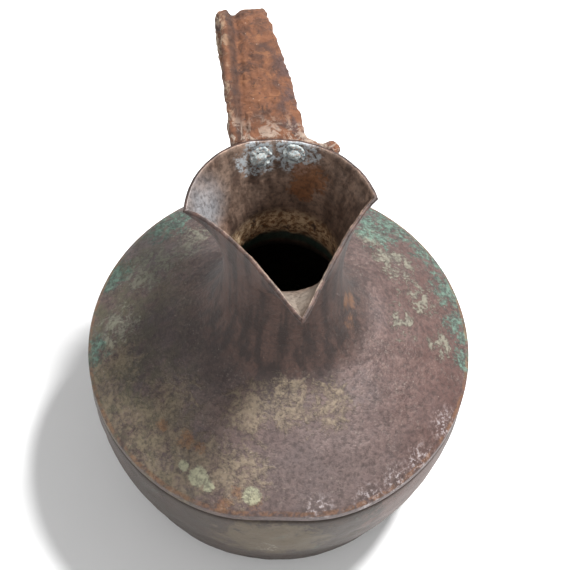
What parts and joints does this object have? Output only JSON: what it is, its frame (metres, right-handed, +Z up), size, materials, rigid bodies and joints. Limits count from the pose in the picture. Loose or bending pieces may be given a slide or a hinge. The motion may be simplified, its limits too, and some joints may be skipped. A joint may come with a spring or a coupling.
{
  "type": "jug",
  "caption": "Sheet-bronze jug with a sharp-edged shoulder, narrow neck, pinched pouring lip and riveted iron strap handle.",
  "frame": {"origin": "centre of the base's flat underside, on the body's axis", "axes": "+Z up, the pouring lip towards -Y, the handle towards +Y"},
  "size_m": [0.19, 0.2073, 0.2354],
  "materials": {
    "bronze": "mottled brown patina with green corrosion",
    "dark_bronze": "dark brown patina",
    "solder": "dull grey",
    "rusted_iron": "rusted and pitted",
    "corroded_rivet": "pale corrosion crust"
  },
  "bodies": {
    "root": {"neck_and_shoulder": "bronze", "lower_body": "dark_bronze", "base_plate": "dark_bronze", "shoulder_solder": "solder", "base_solder": "solder", "handle": "rusted_iron", "upper_rivet_left": "corroded_rivet", "upper_rivet_right": "corroded_rivet", "upper_rove_left": "corroded_rivet", "upper_rove_right": "corroded_rivet", "lower_rivet_left": "rusted_iron", "lower_rivet_right": "rusted_iron", "lower_rove_left": "rusted_iron", "lower_rove_right": "rusted_iron"}
  },
  "joints": []
}
